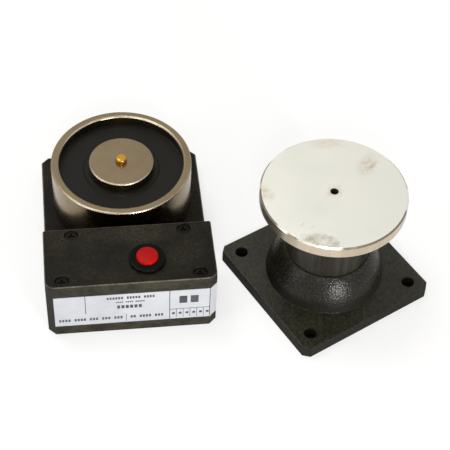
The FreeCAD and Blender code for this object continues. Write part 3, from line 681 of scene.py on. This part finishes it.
def printLabel(s):
    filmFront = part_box("label_plate")[0].y
    strips = ruleStrips(s) + dashStrips(s)
    bpy.ops.object.select_all(action="DESELECT")
    drawn = []
    for x0, x1, z0, z1 in strips:
        middle = ((x0 + x1) / 2, filmFront, (z0 + z1) / 2)
        bpy.ops.mesh.primitive_plane_add(size=1, location=middle, rotation=(math.radians(90), 0, 0))
        strip = bpy.context.object
        strip.scale = (x1 - x0, z1 - z0, 1)
        bpy.ops.object.transform_apply(location=True, rotation=True, scale=True)
        drawn.append(strip)
    for strip in drawn:
        strip.select_set(True)
    bpy.ops.object.join()
    ink = bpy.context.object
    ink.name = "labelPrint"
    bpy.ops.object.mode_set(mode="EDIT")
    bpy.ops.mesh.select_all(action="SELECT")
    bpy.ops.mesh.extrude_region_move(TRANSFORM_OT_translate={"value": (0, -s["lift"], 0)})
    bpy.ops.mesh.select_all(action="SELECT")
    bpy.ops.mesh.normals_make_consistent(inside=False)
    bpy.ops.object.mode_set(mode="OBJECT")
    wear(ink, "inkGrey")
    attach(ink, "base")
    print("label printed:", len(strips), "strips")


printLabel(labelPrint)


# floor, sky, lamps and camera

floor = {
    "size": 6.0,
    "gap": 0.0001,  # below the backs of the two units
    "colour": (0.97, 0.97, 0.97),
    "glow": 0.65,
    "shade": (0.02, 0.02, 0.02),
    "covered": [  # where it lies under the two units, painted dark as their shadow and without glow
        {"centre": (0.0, -0.0215, 0.0), "half": (0.034, 0.046, 1.0), "turn": 0},
        {"centre": (*faceMiddle.xy, 0.0), "half": (0.031, 0.031, 1.0), "turn": doorUnitTurn},
    ],
}
sky = {"colour": (1.0, 0.99, 0.97), "ambient": 0.60, "mirrored": 0.88}
softBoxes = {
    "overhead": {
        "place": (-0.25, 0.35, 1.1), "aim": (0.05, -0.03, 0.03),
        "size": (0.5, 0.5), "watts": 5.0, "colour": (1.0, 0.99, 0.97),
    },
    "besideCamera": {
        "place": (-0.03, -0.62, 0.53), "aim": (0.04, -0.03, 0.03),
        "size": (0.09, 0.09), "watts": 1.1, "colour": (1.0, 0.98, 0.95),
    },
    "lowFront": {
        "place": (0.28, -0.72, 0.10), "aim": (0.09, -0.05, 0.02),
        "size": (0.05, 0.04), "watts": 4.2, "colour": (1.0, 0.98, 0.95),
    },
    "leftFill": {
        "place": (-0.7, -0.35, 0.40), "aim": (0.05, -0.03, 0.03),
        "size": (0.2, 0.5), "watts": 1.2, "colour": (1.0, 1.0, 1.0),
    },
}
eye = {
    "place": (-0.0193, -0.4536, 0.5167), "aim": (0.0447, -0.0351, 0.025),
    "roll": 3.0,
    "focalPixels": 1427, "framePixels": 450,  # focal length and frame in the photo's pixels
    "sensor": 36,
}


def outside(tree, place, s):
    # 0 inside a rectangle, 1 outside it
    split = apart(tree, around(tree, place, s["centre"], s["half"], s["turn"]))
    across = maths(tree, "ABSOLUTE", split["X"])
    along = maths(tree, "ABSOLUTE", split["Y"])
    return maths(tree, "GREATER_THAN", maths(tree, "MAXIMUM", across, along), 1.0)


def paleFloor(s):
    # only the camera sees its glow, which makes it white: to all else it is a plain pale board. Under the
    # units it is a painted shadow, dark and without glow
    material, tree = emptyMaterial("floorPale")
    diffuse = tree.nodes.new("ShaderNodeBsdfDiffuse")
    glow = tree.nodes.new("ShaderNodeEmission")
    mix = tree.nodes.new("ShaderNodeMixShader")
    path = tree.nodes.new("ShaderNodeLightPath")
    output = tree.nodes.new("ShaderNodeOutputMaterial")
    place = objectPlace(tree)
    clear = times(tree, *[outside(tree, place, covered) for covered in s["covered"]])
    level = times(tree, path.outputs["Is Camera Ray"], s["glow"], clear)
    # painted shadow: the floor is dark where the units cover it
    tree.links.new(blend(tree, clear, s["shade"], s["colour"]), diffuse.inputs["Color"])
    tree.links.new(level, mix.inputs["Fac"])
    tree.links.new(diffuse.outputs[0], mix.inputs[1])
    tree.links.new(glow.outputs[0], mix.inputs[2])
    tree.links.new(mix.outputs[0], output.inputs["Surface"])
    return material


def makeFloor(s):
    bpy.ops.object.select_all(action="DESELECT")
    bpy.ops.mesh.primitive_plane_add(size=s["size"], location=(0, 0, -s["gap"]))
    plane = bpy.context.object
    plane.name = "floor"
    plane.data.materials.append(paleFloor(s))


def makeSky(s):
    world = bpy.data.worlds.new("studio")
    bpy.context.scene.world = world
    world.use_nodes = True
    tree = world.node_tree
    tree.nodes.clear()
    path = tree.nodes.new("ShaderNodeLightPath")
    light = tree.nodes.new("ShaderNodeBackground")
    light.inputs["Color"].default_value = (*s["colour"], 1)
    mirrored = path.outputs["Is Glossy Ray"]
    level = maths(tree, "MULTIPLY_ADD", mirrored, s["mirrored"] - s["ambient"], s["ambient"])
    tree.links.new(level, light.inputs["Strength"])
    white = tree.nodes.new("ShaderNodeBackground")
    white.inputs["Color"].default_value = (1, 1, 1, 1)
    mix = tree.nodes.new("ShaderNodeMixShader")
    output = tree.nodes.new("ShaderNodeOutputWorld")
    tree.links.new(path.outputs["Is Camera Ray"], mix.inputs["Fac"])
    tree.links.new(light.outputs[0], mix.inputs[1])
    tree.links.new(white.outputs[0], mix.inputs[2])
    tree.links.new(mix.outputs[0], output.inputs["Surface"])


def placeAimed(name, data, s):
    holder = bpy.data.objects.new(name, data)
    holder.location = s["place"]
    holder.rotation_mode = "QUATERNION"
    look = (Vector(s["aim"]) - Vector(s["place"])).to_track_quat("-Z", "Y")
    holder.rotation_quaternion = look @ Quaternion((0, 0, 1), math.radians(s.get("roll", 0.0)))
    bpy.context.scene.collection.objects.link(holder)
    return holder


def makeLamp(name, s):
    lamp = bpy.data.lights.new(name, "AREA")
    lamp.shape = "RECTANGLE"
    lamp.size, lamp.size_y = s["size"]
    lamp.energy = s["watts"]
    lamp.color = s["colour"]
    placeAimed(name, lamp, s)


def makeCamera(s):
    lens = bpy.data.cameras.new("camera")
    lens.sensor_width = s["sensor"]
    lens.lens = s["focalPixels"] / s["framePixels"] * s["sensor"]
    bpy.context.scene.camera = placeAimed("camera", lens, s)


makeFloor(floor)
makeSky(sky)
for name, settings in softBoxes.items():
    makeLamp(name, settings)
makeCamera(eye)
bpy.context.scene.view_settings.view_transform = "Standard"
print("studio and camera set")
